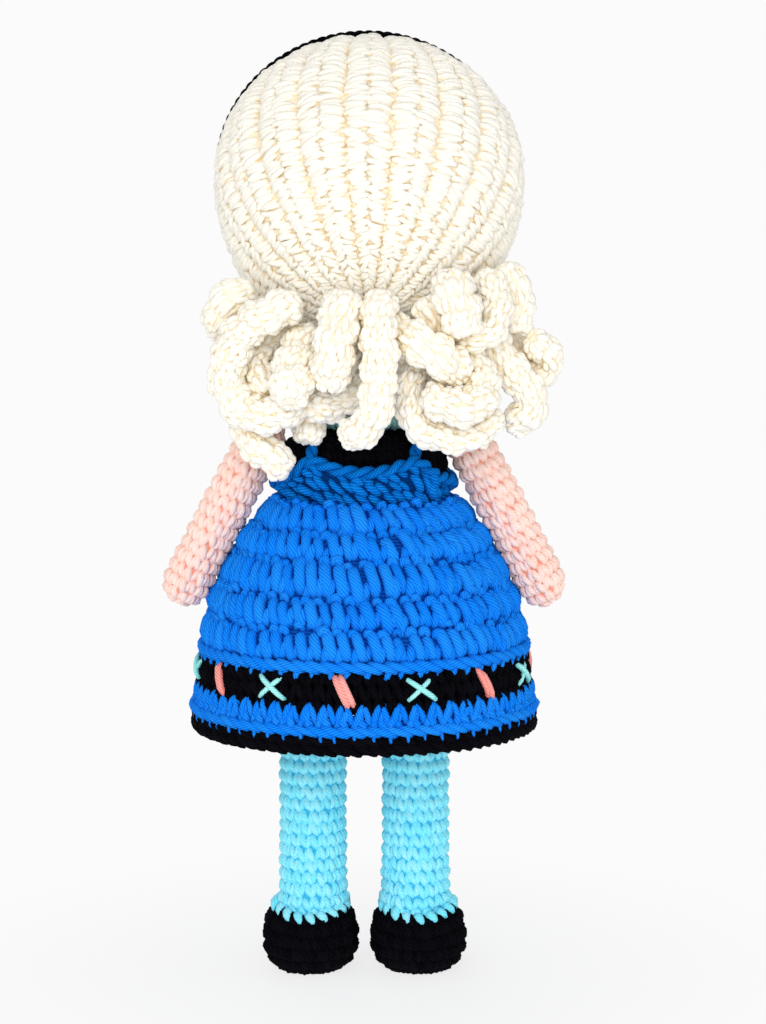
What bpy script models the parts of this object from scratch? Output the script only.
"""A crocheted, stuffed doll that stands 350 mm tall on two flat-soled shoes.

The doll faces -Y, its left hand is at +X and it stands on z = 0. Legs, hips, torso, neck and
head are stacked from the soles up. The head carries a ribbed hair cap, a headband and ringlet
curls, which are laid by hand and then settle against each other, the cap and the shoulders.
"""
import math

import bmesh
import bpy
import numpy as np
from mathutils import Vector
from mathutils.bvhtree import BVHTree

# Clearance between pieces that touch, and the overrun of cutters past the faces they cut
YARN_GAP = 0.0003
CUT_OVERRUN = 0.002

# Shoes with a socket for the leg and a stiff insole lying in a pocket of the sole
SHOE_WIDTH = 0.0354
HEEL_REACH = 0.0192
TOE_REACH = 0.0358
SHOE_HEIGHT = 0.0235
SHOE_SPLAY = 0.0010
SOLE_WALL = 0.0030
INSOLE_THICKNESS = 0.0014
INSOLE_MARGIN = 0.0042
# Height, width, toe and heel of each round of the shoe, as shares of the shoe's sizes
SHOE_ROUND_shares = (
    (0.00, 0.88, 0.92, 0.86),
    (0.10, 0.98, 0.99, 0.98),
    (0.26, 1.00, 1.00, 1.00),
    (0.50, 0.99, 0.97, 0.99),
    (0.70, 0.95, 0.86, 0.95),
    (0.85, 0.89, 0.70, 0.90),
    (0.95, 0.84, 0.54, 0.84),
    (1.00, 0.81, 0.46, 0.80),
)

# Legs, from the insole up to the hips
LEG_RADIUS = 0.0122
LEG_SPACING = 0.0384
LEG_LENGTH = 0.1130
LEG_shares = ((0.0, 0.96), (0.10, 0.98), (0.166, 0.99), (0.18, 1.07), (0.21, 1.07), (0.28, 1.0),
              (0.62, 0.99), (1.0, 1.05))

# Hips and torso; every level of the body is an ellipse, a little less deep than wide
BODY_DEPTH_share = 0.86
HIPS_RADIUS = 0.0329
HIPS_HEIGHT = 0.0524
HIPS_shares = ((0.0, 0.965), (0.08, 1.0), (0.30, 1.0), (0.60, 0.93), (0.85, 0.85), (1.0, 0.815))
TORSO_RADIUS = 0.0312
TORSO_HEIGHT = 0.0325
TORSO_shares = ((0.0, 0.853), (0.15, 0.87), (0.30, 0.915), (0.42, 0.975), (0.57, 1.0), (0.73, 0.99),
                (0.85, 0.94), (0.93, 0.83), (0.975, 0.66), (1.0, 0.43))

# Bodice, straps and collar, crocheted on over the torso
BODICE_THICKNESS = 0.0024
BODICE_HEM_share = 0.02
# Degrees away from the middle of the back or front, and the top edge as a share of the torso
BODICE_TOP_shares = ((0, 0.57), (14, 0.59), (34, 0.70), (52, 0.50), (90, 0.38))
STRAP_WIDTH = 0.0056
STRAP_THICKNESS = 0.0022
STRAP_PLACE_share = 0.60
COLLAR_WIDTH = 0.0032
COLLAR_HEIGHT = 0.0052
COLLAR_FLARE = 0.0006

# Skirt: a stiff bell of tall rounds, then a black band, a blue round and a black hem
HEM_RADIUS = 0.0641
SKIRT_LENGTH = 0.0850
SKIRT_THICKNESS = 0.0034
WAIST_share = 0.22
SKIRT_ROUNDS = 5
ROUND_STEP = 0.0012
# Each round of the bell swells out quickly under the one above
ROUND_SWELL_shares = ((0.25, 0.55), (0.75, 1.0))
BAND_HEIGHT = 0.0153
LOWER_ROUND_HEIGHT = 0.0078
HEM_HEIGHT = 0.0064
CHAIN_RISE = 0.0013
CHAIN_HEIGHT = 0.0026
# The bell's swell s over its drop t, both from 0 to 1: s = a t + b t^2 + c t^3
BELL_shares = (2.55, -2.45, 0.90)

# Arms, hung from the shoulders and leaning outwards
ARM_RADIUS = 0.0090
ARM_LENGTH = 0.0800
ARM_LEAN = math.radians(27.3)
ARM_TOP = 0.0110
SHOULDER_share = 0.885
ARM_shares = ((0.0, 0.0), (0.012, 0.36), (0.035, 0.62), (0.07, 0.80), (0.13, 0.90), (0.25, 0.95),
              (0.45, 0.97), (0.62, 0.96), (0.78, 1.0), (0.88, 0.98), (0.94, 0.84), (0.975, 0.60),
              (0.992, 0.34), (1.0, 0.0))

# Neck and head; the head's centre is its widest level and leans a little to the doll's right
NECK_RADIUS = 0.0118
NECK_HEIGHT = 0.0285
NECK_shares = ((0.0, 1.0), (0.3, 0.96), (0.7, 0.96), (1.0, 1.0))
HEAD_RADIUS = 0.0498
HEAD_UPPER = 0.0455
HEAD_LOWER = 0.0660
HEAD_LEAN = 0.0020
HEAD_DEPTH_share = 0.97
CHIN_CUT_share = 0.947
# Below its widest level the head narrows as (1 - t^a)^b, t running from 0 to 1 at the chin's point
CHIN_CURVE_shares = (1.9, 0.6)

# Hair cap: ribs run from a gather above the forehead over the crown to a gather at the nape
CAP_WALL = 0.0042
RIB_RISE = 0.0019
CAP_TILT = math.radians(35)
CAP_COVER = math.radians(250)
CAP_POLE = math.radians(87)
RIB_COUNT = 13
RIB_CREST_shares = (0.0, 0.85, 1.0, 0.85)
# The cap's flat faces sag towards the round head, so its inside is lifted by this much of the sag
SAG_LIFT_share = 1.6

# Headband over the crown, just in front of the middle of the head
BAND_WIDTH = 0.0085
BAND_THICKNESS = 0.0030
BAND_EDGE_share = 0.7
BAND_REACH = math.radians(100)
BAND_AHEAD_share = 0.30
BAND_TILT = math.radians(-5)
BAND_SKEW = math.radians(4)

# Safety eyes: a domed button with a post, and a washer that locks it inside the head
EYE_RADIUS = 0.0050
EYE_DOME = 0.0029
POST_RADIUS = 0.0016
POST_LENGTH = 0.0080
WASHER_RADIUS = 0.0048
WASHER_THICKNESS = 0.0012
WASHER_DEPTH = 0.0046
EYE_SPREAD = math.radians(20)
EYE_DROP = math.radians(13)

# Ringlets: least room between curls, and what they keep clear of beside the swinging arms
CURL_GAP = 0.0005
CURL_ARM_ROOM = 0.0050
CURL_BACK_REACH = 0.0630
CURL_RING_PITCH = 0.0050
SETTLE_STEPS = 420
SETTLE_RATE_share = 0.45
# Curls give way backwards and forwards first, and less to the side or up and down
SETTLE_EASE_shares = (0.45, 1.0, 0.35)
# How far a move spreads along its curl at each step, and the last part of the steps, without it
SPREAD_share = 0.2
TRIM_share = 0.25
# Points of one curl that lie nearer along it than this many of its widths never push each other
SELF_REACH_share = 1.7
CURL_END_shares = (0.55, 0.92)
# Each curl: its thickness, and the route of its middle from root to tip, measured from the
# head's centre; all are shares of the head's radius
CURL_shares = {
    "ringlet_back_middle": (0.118, ((-0.06, 0.86, -0.86), (-0.07, 1.00, -1.03), (-0.08, 1.06, -1.27),
                                    (-0.07, 1.06, -1.52), (-0.02, 1.00, -1.71), (0.08, 0.92, -1.80))),
    "ringlet_back_left": (0.138, ((0.20, 0.92, -0.86), (0.22, 1.02, -1.00), (0.27, 1.08, -1.18),
                                  (0.31, 1.02, -1.38))),
    "ringlet_back_right": (0.132, ((-0.20, 0.76, -1.14), (-0.34, 0.94, -1.16), (-0.49, 1.02, -1.23),
                                   (-0.61, 0.98, -1.32), (-0.69, 0.88, -1.37))),
    "ringlet_hook_right": (0.122, ((-0.59, 0.72, -1.02), (-0.69, 0.84, -1.18), (-0.81, 0.96, -1.35),
                                   (-0.78, 1.10, -1.50), (-0.64, 1.18, -1.54), (-0.50, 1.12, -1.49))),
    "ringlet_sweep_right": (0.100, ((-0.28, 0.70, -1.10), (-0.27, 0.84, -1.39), (-0.28, 0.88, -1.60),
                                    (-0.36, 0.88, -1.76), (-0.54, 0.88, -1.82), (-0.72, 0.84, -1.81),
                                    (-0.85, 0.76, -1.71))),
    "ringlet_low_right": (0.118, ((-0.74, 0.56, -1.02), (-0.89, 0.68, -1.28), (-1.03, 0.68, -1.47),
                                  (-1.15, 0.64, -1.64), (-1.07, 0.60, -1.78))),
    "ringlet_knob_right": (0.144, ((-0.62, 0.92, -0.93), (-0.66, 1.06, -1.05), (-0.70, 1.08, -1.18))),
    "ringlet_loop_right": (0.098, ((-0.80, 0.64, -0.76), (-0.89, 0.76, -0.90), (-0.87, 0.84, -1.07),
                                   (-0.77, 0.88, -1.19), (-0.66, 0.84, -1.19))),
    "ringlet_side_right": (0.108, ((-0.87, 0.40, -0.72), (-0.97, 0.44, -0.90), (-0.98, 0.46, -1.09))),
    "ringlet_far_right": (0.104, ((-0.80, 0.36, -0.92), (-1.00, 0.40, -1.18), (-1.16, 0.44, -1.35),
                                  (-1.27, 0.50, -1.25), (-1.18, 0.62, -1.14))),
    "ringlet_far_left": (0.138, ((0.86, 0.56, -0.82), (0.95, 0.62, -0.86), (1.03, 0.60, -0.93),
                                 (1.05, 0.50, -1.02))),
    "ringlet_arc_left": (0.124, ((0.53, 0.84, -0.98), (0.69, 0.96, -1.04), (0.84, 0.88, -1.11),
                                 (0.94, 0.80, -1.26), (0.98, 0.76, -1.46), (0.89, 0.76, -1.64),
                                 (0.72, 0.80, -1.70), (0.54, 0.84, -1.64))),
    "ringlet_inner_left": (0.102, ((0.54, 0.62, -1.08), (0.66, 0.68, -1.22), (0.75, 0.74, -1.36),
                                   (0.69, 0.84, -1.50))),
    "ringlet_tip_left": (0.146, ((0.33, 0.72, -1.23), (0.39, 0.88, -1.37), (0.42, 1.00, -1.50),
                                 (0.43, 1.06, -1.58))),
    "ringlet_cross_left": (0.120, ((0.04, 0.66, -1.28), (0.08, 0.80, -1.46), (0.22, 0.88, -1.59),
                                   (0.46, 0.90, -1.66))),
    "ringlet_low_left": (0.114, ((0.26, 0.58, -1.32), (0.35, 0.66, -1.54), (0.43, 0.72, -1.72),
                                 (0.46, 0.76, -1.85))),
    "ringlet_end_left": (0.114, ((0.62, 0.40, -1.16), (0.76, 0.46, -1.46), (0.86, 0.60, -1.71),
                                 (0.83, 0.70, -1.88), (0.73, 0.74, -1.96), (0.65, 0.74, -2.01))),
    "ringlet_inner_middle": (0.104, ((0.06, 0.78, -1.10), (0.11, 0.72, -1.24), (0.12, 0.70, -1.40))),
    "ringlet_inner_right": (0.100, ((-0.26, 0.66, -1.24), (-0.38, 0.72, -1.42), (-0.46, 0.76, -1.58))),
    "ringlet_small_right": (0.100, ((-0.40, 0.86, -0.84), (-0.48, 0.92, -0.93), (-0.53, 0.90, -1.02))),
    "ringlet_front_left": (0.112, ((0.96, -0.76, -0.12), (0.88, -0.84, -0.38), (0.79, -0.84, -0.64),
                                   (0.73, -0.80, -0.88), (0.72, -0.70, -1.08), (0.70, -0.58, -1.22))),
    "ringlet_front_right": (0.112, ((-0.95, -0.78, -0.14), (-0.88, -0.84, -0.40), (-0.78, -0.84, -0.66),
                                    (-0.74, -0.78, -0.90), (-0.70, -0.70, -1.08), (-0.72, -0.60, -1.20))),
}

# Steps around the turned pieces
BODY_STEPS = 32
SKIRT_STEPS = 44
LIMB_STEPS = 20
SHOE_STEPS = 28
CURL_SIDES = 8
SMALL_STEPS = 16
BAND_STEPS = 30
CAP_ROWS = 15

# Heights of the stack and places that follow from it
insole_bottom = SOLE_WALL + YARN_GAP
leg_bottom = insole_bottom + INSOLE_THICKNESS + YARN_GAP
hips_bottom = leg_bottom + LEG_LENGTH + YARN_GAP
torso_bottom = hips_bottom + HIPS_HEIGHT + YARN_GAP
neck_bottom = torso_bottom + TORSO_HEIGHT + YARN_GAP
head_bottom = neck_bottom + NECK_HEIGHT + YARN_GAP
head_centre = np.array([-HEAD_LEAN, 0, head_bottom + CHIN_CUT_share * HEAD_LOWER])
shoulder_height = torso_bottom + SHOULDER_share * TORSO_HEIGHT
waist_height = torso_bottom + WAIST_share * TORSO_HEIGHT

YARNS = {
    "black_yarn": ((0.012, 0.011, 0.016, 1), 0.9),
    "skin_yarn": ((0.92, 0.58, 0.46, 1), 0.9),
    "dress_yarn": ((0.015, 0.16, 0.72, 1), 0.85),
    "bodice_yarn": ((0.012, 0.12, 0.42, 1), 0.85),
    "tights_yarn": ((0.22, 0.68, 0.88, 1), 0.88),
    "collar_yarn": ((0.22, 0.52, 0.54, 1), 0.9),
    "hair_yarn": ((0.95, 0.90, 0.78, 1), 0.9),
    "eye_plastic": ((0.008, 0.008, 0.010, 1), 0.12),
    "washer_plastic": ((0.80, 0.80, 0.78, 1), 0.5),
    "insole_plastic": ((0.42, 0.30, 0.19, 1), 0.8),
}


def yarn(name):
    """Return the named material, made on first use."""
    found = bpy.data.materials.get(name)
    if found:
        return found
    colour, roughness = YARNS[name]
    made = bpy.data.materials.new(name)
    made.use_nodes = True
    shader = made.node_tree.nodes["Principled BSDF"]
    shader.inputs["Base Color"].default_value = colour
    shader.inputs["Roughness"].default_value = roughness
    shader.inputs["Metallic"].default_value = 0
    made.diffuse_color = colour
    return made


def add_piece(name, points, faces, material, pivot=(0, 0, 0), parent=None):
    """Make one closed solid from world points; its origin is the pivot."""
    local = np.asarray(points, dtype=float) - np.asarray(pivot, dtype=float)
    mesh = bpy.data.meshes.new(name)
    mesh.from_pydata([tuple(p) for p in local], [], faces)
    work = bmesh.new()
    work.from_mesh(mesh)
    bmesh.ops.recalc_face_normals(work, faces=work.faces)
    work.to_mesh(mesh)
    work.free()
    mesh.shade_smooth()
    mesh.set_sharp_from_angle(angle=math.radians(50))
    mesh.materials.append(yarn(material))
    piece = bpy.data.objects.new(name, mesh)
    bpy.context.collection.objects.link(piece)
    if parent is None:
        piece.location = pivot
    else:
        piece.parent = parent
    return piece


def quads(rows, columns, close_rows, close_columns):
    """Faces of a grid of points; a closed direction joins its last line to its first."""
    faces = []
    for i in range(rows if close_rows else rows - 1):
        for j in range(columns if close_columns else columns - 1):
            k, m = (i + 1) % rows, (j + 1) % columns
            faces.append((i * columns + j, i * columns + m, k * columns + m, k * columns + j))
    return faces


def rings_piece(name, rings, material, **place):
    """Skin a stack of closed rings, with a flat face on the first and the last ring."""
    rings = np.asarray(rings)
    rows, columns = rings.shape[:2]
    faces = quads(rows, columns, False, True)
    faces.append(tuple(range(columns)))
    faces.append(tuple((rows - 1) * columns + j for j in range(columns)))
    return add_piece(name, rings.reshape(-1, 3), faces, material, **place)


def hollow_piece(name, loops, material, **place):
    """Skin a ring of closed loops, such as a tyre: closed both ways round."""
    loops = np.asarray(loops)
    rows, columns = loops.shape[:2]
    faces = quads(rows, columns, True, True)
    return add_piece(name, loops.reshape(-1, 3), faces, material, **place)


def ellipse(radius, height, steps, depth_share=1.0, centre=(0, 0)):
    """Points of a level ellipse, from +X towards +Y."""
    turn = np.arange(steps) * math.tau / steps
    x = centre[0] + radius * np.cos(turn)
    y = centre[1] + radius * depth_share * np.sin(turn)
    return np.stack([x, y, np.full(steps, height)], axis=1)


def share_at(shares, where):
    """Read a table of shares at any place between its ends."""
    table = np.asarray(shares, dtype=float)
    return np.interp(where, table[:, 0], table[:, 1])


def turned_stack(name, shares, radius, bottom, height, steps, material, depth_share=1.0,
                 centre=(0, 0), **place):
    """A solid turned from a table of height and radius shares."""
    rings = [ellipse(radius * r, bottom + height * h, steps, depth_share, centre) for h, r in shares]
    return rings_piece(name, rings, material, **place)


def torso_radius(height):
    """Half width of the torso at a height above the floor."""
    return TORSO_RADIUS * share_at(TORSO_shares, (height - torso_bottom) / TORSO_HEIGHT)


def head_radius(slope):
    """Distance from the head's centre to its skin, at an angle above its widest level."""
    lower = np.linspace(0, CHIN_CUT_share, 60)
    power, blunt = CHIN_CURVE_shares
    low_out = HEAD_RADIUS * (1 - lower ** power) ** blunt
    low_down = -HEAD_LOWER * lower
    upper = np.linspace(0, math.pi / 2, 60)[1:]
    out = np.concatenate([low_out[::-1], HEAD_RADIUS * np.cos(upper)])
    up = np.concatenate([low_down[::-1], HEAD_UPPER * np.sin(upper)])
    return np.interp(slope, np.arctan2(up, out), np.hypot(up, out))


def head_points(directions, lift):
    """Points above the head's skin by the lift, along directions from its centre."""
    squared = np.asarray(directions) / np.array([1, HEAD_DEPTH_share, 1])
    squared = squared / np.linalg.norm(squared, axis=-1, keepdims=True)
    slope = np.arctan2(squared[..., 2], np.hypot(squared[..., 0], squared[..., 1]))
    reach = (head_radius(slope) + lift)[..., None]
    return head_centre + reach * squared * np.array([1, HEAD_DEPTH_share, 1])


def turn_about_x(points, angle):
    """Turn points about the X axis through the origin."""
    cosine, sine = math.cos(angle), math.sin(angle)
    turned = np.array(points, dtype=float)
    turned[..., 1] = cosine * points[..., 1] - sine * points[..., 2]
    turned[..., 2] = sine * points[..., 1] + cosine * points[..., 2]
    return turned


def turn_about_z(points, angle):
    """Turn points about the Z axis through the origin."""
    cosine, sine = math.cos(angle), math.sin(angle)
    turned = np.array(points, dtype=float)
    turned[..., 0] = cosine * points[..., 0] - sine * points[..., 1]
    turned[..., 1] = sine * points[..., 0] + cosine * points[..., 1]
    return turned


def shoe_round(side, height_share, width_share, toe_share, heel_share, inset=0.0):
    """One level outline of a shoe: a half ellipse at the heel and a longer one at the toe."""
    turn = np.arange(SHOE_STEPS) * math.tau / SHOE_STEPS
    across, along = np.cos(turn), np.sin(turn)
    centre = side * (LEG_SPACING / 2 + SHOE_SPLAY)
    x = centre + (SHOE_WIDTH / 2 * width_share - inset) * across
    reach = np.where(along > 0, HEEL_REACH * heel_share - inset, TOE_REACH * toe_share - inset)
    height = SHOE_HEIGHT * height_share
    return np.stack([x, reach * along, np.full(SHOE_STEPS, height)], axis=1)


def cut(piece, cutter):
    """Cut the cutter out of the piece."""
    cutter.hide_render = True
    cutter.display_type = "WIRE"
    tool = piece.modifiers.new("cut_" + cutter.name, "BOOLEAN")
    tool.operation = "DIFFERENCE"
    tool.object = cutter


def build_foot(side, word):
    """Shoe, insole and leg of one side."""
    rounds = [shoe_round(side, *shares) for shares in SHOE_ROUND_shares]
    shoe = rings_piece(word + "_shoe", rounds, "black_yarn")
    leg_x = side * LEG_SPACING / 2
    leg_in_shoe = max(r for h, r in LEG_shares if leg_bottom + h * LEG_LENGTH < SHOE_HEIGHT)
    socket_radius = LEG_RADIUS * leg_in_shoe + YARN_GAP
    socket_levels = (insole_bottom + INSOLE_THICKNESS, SHOE_HEIGHT + CUT_OVERRUN)
    socket = rings_piece(word + "_leg_socket", [ellipse(socket_radius, level, BODY_STEPS,
                                                        centre=(leg_x, 0)) for level in socket_levels],
                         "black_yarn")
    cut(shoe, socket)
    sole = SHOE_ROUND_shares[2][1:]
    flat = np.array([0, 0, 1])
    insole_outline = shoe_round(side, 0, *sole, inset=INSOLE_MARGIN)
    insole = [insole_outline + flat * level for level in (insole_bottom, insole_bottom + INSOLE_THICKNESS)]
    rings_piece(word + "_insole", insole, "insole_plastic")
    pocket_outline = shoe_round(side, 0, *sole, inset=INSOLE_MARGIN - YARN_GAP)
    pocket_top = insole_bottom + INSOLE_THICKNESS + YARN_GAP
    pocket = rings_piece(word + "_insole_pocket", [pocket_outline + flat * level
                                                   for level in (SOLE_WALL, pocket_top)], "black_yarn")
    cut(shoe, pocket)
    turned_stack(word + "_leg", LEG_shares, LEG_RADIUS, leg_bottom, LEG_LENGTH, LIMB_STEPS,
                 "tights_yarn", centre=(leg_x, 0))


def bodice_top(turn):
    """Height of the bodice's scooped top edge at an angle from +X round the body."""
    away = np.degrees(np.arccos(np.abs(np.sin(turn))))
    return torso_bottom + TORSO_HEIGHT * share_at(BODICE_TOP_shares, away)


def build_bodice():
    """A thin shell round the torso with a scooped top edge."""
    turn = np.arange(BODY_STEPS) * math.tau / BODY_STEPS
    low = torso_bottom + BODICE_HEM_share * TORSO_HEIGHT
    top = bodice_top(turn)
    climbs = [(1, share) for share in np.linspace(0, 1, 4)] + [(0, share) for share in np.linspace(1, 0, 8)]
    loops = []
    for lift, climb in climbs:
        height = low + climb * (top - low)
        outset = 1.5 * YARN_GAP + lift * BODICE_THICKNESS
        radius = torso_radius(height) + outset
        depth = torso_radius(height) * BODY_DEPTH_share + outset
        loops.append(np.stack([radius * np.cos(turn), depth * np.sin(turn), height], axis=1))
    hollow_piece("bodice", loops, "bodice_yarn")


def build_strap(side, word):
    """A strap that lies on the torso from the bodice's back edge over the shoulder to its front."""
    middle = side * STRAP_PLACE_share * TORSO_RADIUS
    edge = torso_bottom + TORSO_HEIGHT * max(share for _, share in BODICE_TOP_shares)
    start = edge + 2 * YARN_GAP
    tops = np.linspace(start, torso_bottom + TORSO_HEIGHT, 200)
    sweep = np.linspace(0, math.pi, 15)
    strips = []
    for across in (-STRAP_WIDTH / 2, 0, STRAP_WIDTH / 2):
        x = middle + across
        inside = np.maximum(torso_radius(tops) ** 2 - x ** 2, 0)
        y = BODY_DEPTH_share * np.sqrt(inside)
        reached = tops[inside > 0]
        y = y[inside > 0]
        angle = np.arctan2(reached - start, y)
        far = np.hypot(reached - start, y)
        crown = np.array([math.pi / 2])
        angle = np.concatenate([angle, crown])
        far = np.concatenate([far, reached[-1:] - start])
        half = np.minimum(sweep, math.pi - sweep)
        out = np.interp(half, angle, far)
        strips.append(np.stack([np.full(len(sweep), x), out * np.cos(sweep),
                                start + out * np.sin(sweep)], axis=1))
    grid = np.array(strips)
    path = grid[1]
    run = np.gradient(path, axis=0)
    width = grid[2] - grid[0]
    normal = np.cross(run, width)
    normal /= np.linalg.norm(normal, axis=1, keepdims=True)
    normal *= np.sign(np.sum(normal * (path - np.array([middle, 0, start])), axis=1))[:, None]
    low, high = 2 * YARN_GAP, 2 * YARN_GAP + STRAP_THICKNESS
    rings = np.stack([grid[0] + low * normal, grid[1] + low * normal, grid[2] + low * normal,
                      grid[2] + high * normal, grid[1] + high * normal, grid[0] + high * normal], axis=1)
    rings_piece(word + "_strap", rings, "bodice_yarn")


def build_collar():
    """A short upright ring round the foot of the neck."""
    inner = NECK_RADIUS + YARN_GAP
    outer = inner + COLLAR_WIDTH
    low = neck_bottom
    high = low + COLLAR_HEIGHT
    loops = [ellipse(inner, low, BODY_STEPS), ellipse(outer - COLLAR_FLARE, low, BODY_STEPS),
             ellipse(outer, (low + high) / 2, BODY_STEPS), ellipse(outer, high - COLLAR_FLARE, BODY_STEPS),
             ellipse(outer - COLLAR_FLARE, high, BODY_STEPS), ellipse(inner, high, BODY_STEPS)]
    hollow_piece("collar", loops, "collar_yarn")


def skirt_radius(height):
    """Half width of the skirt's outside at a height above the floor."""
    drop = (waist_height - height) / SKIRT_LENGTH
    swell = sum(share * drop ** (power + 1) for power, share in enumerate(BELL_shares))
    waist = torso_radius(waist_height) + BODICE_THICKNESS + SKIRT_THICKNESS + 2 * YARN_GAP
    return waist + (HEM_RADIUS - waist) * swell


def skirt_ring(height, lift):
    """One level of the skirt, round at the hem and an ellipse at the waist."""
    drop = (waist_height - height) / SKIRT_LENGTH
    depth_share = BODY_DEPTH_share + (1 - BODY_DEPTH_share) * min(1.0, drop * 2)
    extra = (1 - depth_share) * (BODICE_THICKNESS + SKIRT_THICKNESS + 2 * YARN_GAP)
    radius = skirt_radius(height) + lift
    ring = ellipse(radius, height, SKIRT_STEPS, depth_share)
    ring[:, 1] += extra * np.sin(np.arange(SKIRT_STEPS) * math.tau / SKIRT_STEPS)
    return ring


def build_skirt():
    """Four rings that make one bell, open below."""
    top = waist_height
    hem = top - SKIRT_LENGTH
    lower_bottom = hem + HEM_HEIGHT
    band_bottom = lower_bottom + LOWER_ROUND_HEIGHT
    upper_bottom = band_bottom + BAND_HEIGHT
    pitch = (top - upper_bottom) / SKIRT_ROUNDS
    outside = []
    for number in range(SKIRT_ROUNDS):
        upper = top - number * pitch
        bulge = ROUND_STEP if number else 0
        outside.append((upper, 0))
        outside += [(upper - down * pitch, bulge * out) for down, out in ROUND_SWELL_shares]
    chain = upper_bottom + CHAIN_HEIGHT
    outside += [(chain, 0), (chain - CHAIN_HEIGHT / 2, CHAIN_RISE), (upper_bottom, CHAIN_RISE / 2)]
    inside = [(top - share * (top - upper_bottom), -SKIRT_THICKNESS)
              for share in np.linspace(1, 0, SKIRT_ROUNDS)]
    hollow_piece("skirt_upper", [skirt_ring(*level) for level in outside + inside], "dress_yarn")
    shell = {
        "skirt_band": ((upper_bottom - YARN_GAP, 0), (band_bottom, 0)),
        "skirt_lower_round": ((band_bottom - YARN_GAP, 0), (lower_bottom + CHAIN_HEIGHT, 0),
                              (lower_bottom + CHAIN_HEIGHT / 2, CHAIN_RISE), (lower_bottom, CHAIN_RISE / 2)),
        "skirt_hem": ((lower_bottom - YARN_GAP, 0), (hem + HEM_HEIGHT / 2, ROUND_STEP / 2),
                      (hem, -ROUND_STEP / 2)),
    }
    colours = {"skirt_band": "black_yarn", "skirt_lower_round": "dress_yarn", "skirt_hem": "black_yarn"}
    for name, levels in shell.items():
        back = [(levels[-1][0], -SKIRT_THICKNESS), (levels[0][0], -SKIRT_THICKNESS)]
        hollow_piece(name, [skirt_ring(*level) for level in list(levels) + back], colours[name])


def arm_axis(side, seat):
    """Top and tip of an arm's middle line, with its top the seat away from the body's middle."""
    lean = np.array([side * math.sin(ARM_LEAN), 0, -math.cos(ARM_LEAN)])
    pivot = np.array([side * seat, 0, shoulder_height])
    top = pivot - lean * ARM_TOP
    return top, top + lean * ARM_LENGTH, pivot


def arm_seat():
    """How far out the shoulder sits so that the arm just clears the torso."""
    heights = np.linspace(torso_bottom, torso_bottom + TORSO_HEIGHT, 80)
    skin = np.stack([torso_radius(heights), np.zeros(80), heights], axis=1)
    along = np.linspace(0, 1, 120)
    girth = ARM_RADIUS * share_at(ARM_shares, along)
    near, far = 0.0, 2 * (TORSO_RADIUS + ARM_RADIUS)
    for _ in range(40):
        seat = (near + far) / 2
        top, tip, _ = arm_axis(1, seat)
        middle = top + along[:, None] * (tip - top)
        apart = np.linalg.norm(middle[:, None] - skin[None], axis=2) - girth[:, None]
        if apart.min() < YARN_GAP * 1.5:
            near = seat
        else:
            far = seat
    return far


def build_arm(side, word, seat):
    """A tapered, stuffed tube with a round hand, hung at its shoulder."""
    top, tip, pivot = arm_axis(side, seat)
    down = (tip - top) / np.linalg.norm(tip - top)
    wide = np.cross(down, np.array([0, 1, 0]))
    turn = np.arange(LIMB_STEPS) * math.tau / LIMB_STEPS
    around = np.cos(turn)[:, None] * wide + np.sin(turn)[:, None] * np.array([0, 1, 0])
    rings = [top + h * (tip - top) + ARM_RADIUS * r * around for h, r in ARM_shares[1:-1]]
    rings_piece(word + "_arm", rings, "skin_yarn", pivot=pivot)


def build_head(parent, pivot):
    """The stuffed head, turned, flat under the chin where the neck meets it."""
    chin = math.asin(CHIN_CUT_share)
    levels = [-HEAD_LOWER * math.sin(a) for a in np.linspace(chin, 0, 10)[:-1]]
    power, blunt = CHIN_CURVE_shares
    rings = []
    for level in levels:
        radius = HEAD_RADIUS * (1 - (-level / HEAD_LOWER) ** power) ** blunt
        rings.append(ellipse(radius, level, BODY_STEPS, HEAD_DEPTH_share))
    for a in np.linspace(0, math.radians(86), 9):
        rings.append(ellipse(HEAD_RADIUS * math.cos(a), HEAD_UPPER * math.sin(a), BODY_STEPS,
                             HEAD_DEPTH_share))
    head = rings_piece("head", np.array(rings) + head_centre, "skin_yarn", pivot=pivot, parent=parent)
    for side, word in ((1, "left"), (-1, "right")):
        build_eye(side, word, head, parent, pivot)
    return head


def eye_frame(side):
    """Place of an eye on the skin, and its axis pointing out of the face."""
    look = np.array([side * math.sin(EYE_SPREAD) * math.cos(EYE_DROP),
                     -math.cos(EYE_SPREAD) * math.cos(EYE_DROP), -math.sin(EYE_DROP)])
    return head_points(look, 0), look


def turned_on_axis(profile, seat, look):
    """Rings of a profile of (reach, radius) pairs turned about an axis through the seat."""
    sideways = np.cross(look, np.array([0, 0, 1]))
    sideways /= np.linalg.norm(sideways)
    upwards = np.cross(sideways, look)
    turn = np.arange(SMALL_STEPS) * math.tau / SMALL_STEPS
    around = np.cos(turn)[:, None] * sideways + np.sin(turn)[:, None] * upwards
    return [seat + reach * look + radius * around for reach, radius in profile]


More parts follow.
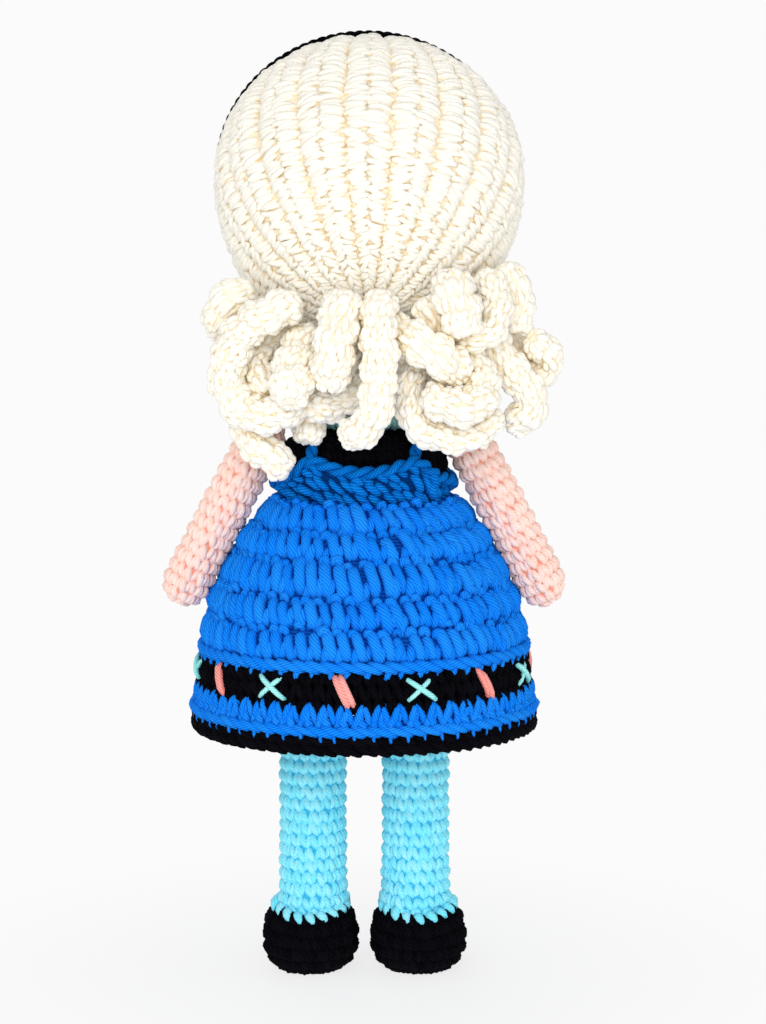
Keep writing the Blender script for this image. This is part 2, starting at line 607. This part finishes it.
def build_eye(side, word, head, parent, pivot):
    """A domed eye with its post through the head's skin, locked by a washer inside."""
    seat, look = eye_frame(side)
    held = {"parent": parent, "pivot": pivot}
    dome = [(YARN_GAP + EYE_DOME * math.sin(a), EYE_RADIUS * math.cos(a))
            for a in np.linspace(0, math.radians(80), 6)]
    profile = [(-POST_LENGTH, POST_RADIUS), (YARN_GAP, POST_RADIUS)] + dome
    rings_piece(word + "_eye", turned_on_axis(profile, seat, look), "eye_plastic", **held)
    front, back = -WASHER_DEPTH, -WASHER_DEPTH - WASHER_THICKNESS
    hole = POST_RADIUS + YARN_GAP
    washer = [(front, hole), (front, WASHER_RADIUS), (back, WASHER_RADIUS), (back, hole)]
    hollow_piece(word + "_eye_washer", turned_on_axis(washer, seat, look), "washer_plastic", **held)
    bore = [(-POST_LENGTH - YARN_GAP, hole), (CUT_OVERRUN, hole)]
    cut(head, rings_piece(word + "_eye_bore", turned_on_axis(bore, seat, look), "skin_yarn", **held))
    room = WASHER_RADIUS + YARN_GAP
    pocket = [(back - YARN_GAP, room), (front + YARN_GAP, room)]
    cut(head, rings_piece(word + "_eye_pocket", turned_on_axis(pocket, seat, look), "skin_yarn", **held))


def build_cap(parent, pivot):
    """A ribbed shell round the back and top of the head, gathered above the face and at the nape.

    Ribs run along the meridians of a ball whose axis is tilted forwards by CAP_TILT. The wall is
    CAP_WALL thick in the grooves and RIB_RISE more on the crests, which fade at the gathers.
    """
    columns = RIB_COUNT * len(RIB_CREST_shares) + 1
    sideways = np.linspace(-CAP_COVER / 2, CAP_COVER / 2, columns)
    crest = np.array([RIB_CREST_shares[j % len(RIB_CREST_shares)] for j in range(columns)])
    climb = np.linspace(-CAP_POLE, CAP_POLE, CAP_ROWS)[:, None]
    directions = np.stack([np.cos(climb) * np.sin(sideways), np.cos(climb) * np.cos(sideways),
                           np.sin(climb) * np.ones(columns)], axis=-1)
    directions = turn_about_x(directions, CAP_TILT)
    fade = np.sqrt(np.cos(climb)) * np.ones(columns)
    outer = head_points(directions, YARN_GAP + CAP_WALL + RIB_RISE * crest * fade)
    facet_sag = HEAD_RADIUS * (1 - math.cos(CAP_POLE / (CAP_ROWS - 1)))
    inner = head_points(directions, np.full(outer.shape[:2], YARN_GAP + SAG_LIFT_share * facet_sag))
    count = CAP_ROWS * columns
    faces = quads(CAP_ROWS, columns, False, False)
    faces += [tuple(count + i for i in reversed(face)) for face in quads(CAP_ROWS, columns, False, False)]
    last = (CAP_ROWS - 1) * columns
    for j in range(columns - 1):
        faces.append((j, j + 1, count + j + 1, count + j))
        faces.append((last + j + 1, last + j, count + last + j, count + last + j + 1))
    for i in range(CAP_ROWS - 1):
        a, b = i * columns, (i + 1) * columns
        faces.append((b, a, count + a, count + b))
        a, b = a + columns - 1, b + columns - 1
        faces.append((a, b, count + b, count + a))
    points = np.concatenate([outer.reshape(-1, 3), inner.reshape(-1, 3)])
    return add_piece("hair_cap", points, faces, "hair_yarn", parent=parent, pivot=pivot)


def build_headband(parent, pivot):
    """A flat band that lies on the ribs' crests from ear to ear over the crown."""
    along = np.linspace(-BAND_REACH, BAND_REACH, BAND_STEPS)
    half = BAND_WIDTH / 2 / HEAD_RADIUS
    low = 2 * YARN_GAP + CAP_WALL + RIB_RISE
    loops = []
    for across, lift in ((-half, low), (0, low), (half, low), (half, low + BAND_EDGE_share * BAND_THICKNESS),
                         (0, low + BAND_THICKNESS), (-half, low + BAND_EDGE_share * BAND_THICKNESS)):
        aside = np.full(BAND_STEPS, across - BAND_AHEAD_share)
        directions = np.stack([np.sin(along), aside, np.cos(along)], axis=1)
        directions = turn_about_z(turn_about_x(directions, BAND_TILT), BAND_SKEW)
        loops.append(head_points(directions, lift))
    rings_piece("headband", np.array(loops).transpose(1, 0, 2), "black_yarn", parent=parent, pivot=pivot)


def smooth_route(points, pitch):
    """Even points along a smooth curve through the given ones (Catmull-Rom)."""
    ends = np.concatenate([2 * points[:1] - points[1:2], points, 2 * points[-1:] - points[-2:-1]])
    t = np.linspace(0, 1, 24, endpoint=False)[:, None]
    pieces = []
    for p0, p1, p2, p3 in zip(ends, ends[1:], ends[2:], ends[3:]):
        pieces.append(0.5 * (2 * p1 + (p2 - p0) * t + (2 * p0 - 5 * p1 + 4 * p2 - p3) * t ** 2
                             + (3 * p1 - p0 - 3 * p2 + p3) * t ** 3))
    fine = np.concatenate(pieces + [points[-1:]])
    length = np.concatenate([[0], np.cumsum(np.linalg.norm(np.diff(fine, axis=0), axis=1))])
    count = max(5, int(round(length[-1] / pitch)) + 1)
    even = np.linspace(0, length[-1], count)
    return np.stack([np.interp(even, length, fine[:, k]) for k in range(3)], axis=1)


def trunk_outline():
    """Heights and radii of what the curls hang behind: torso with straps, collar and neck."""
    heights = torso_bottom + TORSO_HEIGHT * np.linspace(0.3, 1, 30)
    radii = torso_radius(heights) + STRAP_THICKNESS + 2 * YARN_GAP
    collar = NECK_RADIUS + COLLAR_WIDTH + YARN_GAP
    steps = np.linspace(0, 1, 8)
    heights = np.concatenate([heights, neck_bottom + COLLAR_HEIGHT * steps, neck_bottom + NECK_HEIGHT * steps])
    radii = np.concatenate([radii, np.full(8, collar), np.full(8, NECK_RADIUS)])
    return heights, radii


def from_trunk(points):
    """Distance from the trunk, negative inside it, and the direction that leads away from it."""
    heights, radii = trunk_outline()
    out = np.hypot(points[:, 0], points[:, 1] / BODY_DEPTH_share)
    gaps = np.stack([out[:, None] - radii, points[:, 2][:, None] - heights], axis=2)
    distance = np.linalg.norm(gaps, axis=2)
    nearest = distance.argmin(axis=1)
    rows = np.arange(len(points))
    inside = np.any((np.abs(gaps[..., 1]) < YARN_GAP * 4) & (gaps[..., 0] < 0), axis=1)
    signed = np.where(inside, -1, 1) * distance[rows, nearest]
    lead = gaps[rows, nearest] / np.maximum(distance[rows, nearest], YARN_GAP)[:, None]
    lead = lead * np.where(inside, -1, 1)[:, None]
    flat = points[:, :2] / np.maximum(np.linalg.norm(points[:, :2], axis=1), YARN_GAP)[:, None]
    return signed, np.column_stack([flat * lead[:, :1], lead[:, 1]])


def from_arms(points, seat):
    """Distance from the nearer arm's skin, and the direction that leads away from it."""
    best = np.full(len(points), np.inf)
    lead = np.zeros((len(points), 3))
    for side in (1, -1):
        top, tip, _ = arm_axis(side, seat)
        bone = tip - top
        share = np.clip((points - top) @ bone / (bone @ bone), 0, 1)
        away = points - (top + share[:, None] * bone)
        distance = np.linalg.norm(away, axis=1)
        nearer = distance < best
        best = np.where(nearer, distance, best)
        lead = np.where(nearer[:, None], away / np.maximum(distance, YARN_GAP)[:, None], lead)
    return best - ARM_RADIUS, lead


def skin_tree(pieces, pivot):
    """A search tree over the faces of pieces whose meshes are measured from the pivot."""
    points, faces = [], []
    for piece in pieces:
        first = len(points)
        points += [vertex.co + pivot for vertex in piece.data.vertices]
        faces += [[first + i for i in face.vertices] for face in piece.data.polygons]
    return BVHTree.FromPolygons(points, faces)


def from_hair(points, tree):
    """Distance from the cap's or the head's skin, and the direction that leads away from it.

    Points under the skin or among the ribs are led out along the ray from the head's centre.
    """
    squared = (points - head_centre) / np.array([1, HEAD_DEPTH_share, 1])
    length = np.linalg.norm(squared, axis=1)
    slope = np.arctan2(squared[:, 2], np.hypot(squared[:, 0], squared[:, 1]))
    tilted = turn_about_x(squared, -CAP_TILT)
    covered = np.abs(np.arctan2(tilted[:, 0], tilted[:, 1])) < CAP_COVER / 2
    signed = length - head_radius(slope) - np.where(covered, YARN_GAP + CAP_WALL + RIB_RISE, 0)
    lead = squared / length[:, None]
    for k in np.flatnonzero(signed > 0):
        away = points[k] - np.array(tree.find_nearest(points[k])[0])
        signed[k] = np.linalg.norm(away)
        lead[k] = away / signed[k]
    return signed, lead


def settle_curls(seat, tree):
    """Let the curls settle: each gives way until none presses into another, the cap or the body.

    Points that overlap push each other apart, and each curl keeps its form because the moves are
    smoothed along it. Roots slide on the cap and the head but never leave them.
    """
    routes, girths = [], []
    for thickness, route in CURL_shares.values():
        girths.append(thickness * HEAD_RADIUS)
        routes.append(smooth_route(head_centre + HEAD_RADIUS * np.array(route), CURL_RING_PITCH))
    owner = np.concatenate([np.full(len(route), k) for k, route in enumerate(routes)])
    laid = np.concatenate(routes)
    girth = np.array(girths)[owner]
    linked = np.concatenate([owner[1:] == owner[:-1], [False]])
    joints = np.flatnonzero(linked)
    root = np.flatnonzero(np.concatenate([[True], owner[1:] != owner[:-1]]))
    spots = np.concatenate([np.arange(len(laid)), joints])
    next_spots = np.concatenate([np.arange(len(laid)), joints + 1])
    spot_owner, spot_girth = owner[spots], girth[spots]
    spot_place = (spots + next_spots) / 2
    reach = spot_girth[:, None] + spot_girth[None, :]
    same = spot_owner[:, None] == spot_owner[None, :]
    along = np.abs(spot_place[:, None] - spot_place[None, :]) * CURL_RING_PITCH
    near_self = same & (along < SELF_REACH_share * reach)
    ease = np.array(SETTLE_EASE_shares)
    moved = np.zeros_like(laid)
    for step in range(SETTLE_STEPS):
        here = laid + moved
        spot = (here[spots] + here[next_spots]) / 2
        away = spot[:, None] - spot[None, :]
        distance = np.linalg.norm(away, axis=2) + np.where(near_self, 1.0, 0.0)
        press = np.maximum(reach + CURL_GAP - distance, 0)
        push = (away / np.maximum(distance, YARN_GAP)[..., None] * press[..., None]).sum(axis=1) * ease
        for signed, lead, room in (
                (*from_hair(spot, tree), CURL_GAP), (*from_trunk(spot), CURL_GAP * 3),
                (*from_arms(spot, seat), CURL_ARM_ROOM)):
            push += lead * np.maximum(spot_girth + room - signed, 0)[:, None]
        push[:, 1] -= np.maximum(spot[:, 1] + spot_girth - CURL_BACK_REACH, 0)
        total = np.zeros_like(laid)
        np.add.at(total, spots, push / 2)
        np.add.at(total, next_spots, push / 2)
        moved = moved + SETTLE_RATE_share * total
        if step < SETTLE_STEPS * (1 - TRIM_share):
            mean = moved.copy()
            mean[joints] += SPREAD_share * (moved[joints + 1] - moved[joints])
            mean[joints + 1] += SPREAD_share * (moved[joints] - moved[joints + 1])
            moved = mean
        signed, lead = from_hair(laid[root] + moved[root], tree)
        moved[root] += (girth[root] + YARN_GAP - signed)[:, None] * lead
    here = laid + moved
    spot = (here[spots] + here[next_spots]) / 2
    distance = np.linalg.norm(spot[:, None] - spot[None, :], axis=2) - reach
    print("least gap between curls, mm:", round(1000 * distance[~same].min(), 2))
    print("least gap of a curl to itself, mm:", round(1000 * distance[same & ~near_self].min(), 2))
    print("least gap to cap and head, mm:", round(1000 * (from_hair(here, tree)[0] - girth).min(), 2))
    return [here[owner == k] for k in range(len(routes))], girths


def curl_rings(route, girth):
    """Rings of a round tube along a route, drawn in at both ends."""
    run = np.gradient(route, axis=0)
    run /= np.linalg.norm(run, axis=1, keepdims=True)
    across = np.cross(run[0], np.array([0, 0, 1]))
    across = across / np.linalg.norm(across)
    turn = np.arange(CURL_SIDES) * math.tau / CURL_SIDES
    rings = []
    for place, tangent in zip(route, run):
        across = across - tangent * (across @ tangent)
        across = across / np.linalg.norm(across)
        other = np.cross(tangent, across)
        around = np.cos(turn)[:, None] * across + np.sin(turn)[:, None] * other
        rings.append(place + girth * around)
    ends = []
    for ring, place, tangent, way in ((rings[0], route[0], run[0], -1), (rings[-1], route[-1], run[-1], 1)):
        for share in CURL_END_shares:
            drawn = math.sqrt(1 - share ** 2)
            ends.append(place + drawn * (ring - place) + way * share * girth * tangent)
    return [ends[1], ends[0]] + rings + [ends[2], ends[3]]


def build_curls(parent, pivot, seat, carriers):
    """Every ringlet as its own tube, rooted on the hair cap or at its rim."""
    routes, girths = settle_curls(seat, skin_tree(carriers, pivot))
    for name, route, girth in zip(CURL_shares, routes, girths):
        rings_piece(name, curl_rings(route, girth), "hair_yarn", parent=parent, pivot=pivot)


def main():
    for old in list(bpy.data.objects):
        bpy.data.objects.remove(old, do_unlink=True)
    for side, word in ((1, "left"), (-1, "right")):
        build_foot(side, word)
    turned_stack("hips", HIPS_shares, HIPS_RADIUS, hips_bottom, HIPS_HEIGHT, BODY_STEPS,
                 "tights_yarn", BODY_DEPTH_share)
    turned_stack("torso", TORSO_shares, TORSO_RADIUS, torso_bottom, TORSO_HEIGHT, BODY_STEPS,
                 "black_yarn", BODY_DEPTH_share)
    turned_stack("neck", NECK_shares, NECK_RADIUS, neck_bottom, NECK_HEIGHT, BODY_STEPS, "skin_yarn")
    build_bodice()
    build_collar()
    build_skirt()
    seat = arm_seat()
    for side, word in ((1, "left"), (-1, "right")):
        build_strap(side, word)
        build_arm(side, word, seat)
    head_pivot = Vector((-HEAD_LEAN, 0, head_bottom))
    turntable = bpy.data.objects.new("head_turn", None)
    turntable.location = head_pivot
    bpy.context.collection.objects.link(turntable)
    carriers = [build_head(turntable, head_pivot), build_cap(turntable, head_pivot)]
    build_headband(turntable, head_pivot)
    build_curls(turntable, head_pivot, seat, carriers)
    bpy.context.view_layer.update()


main()
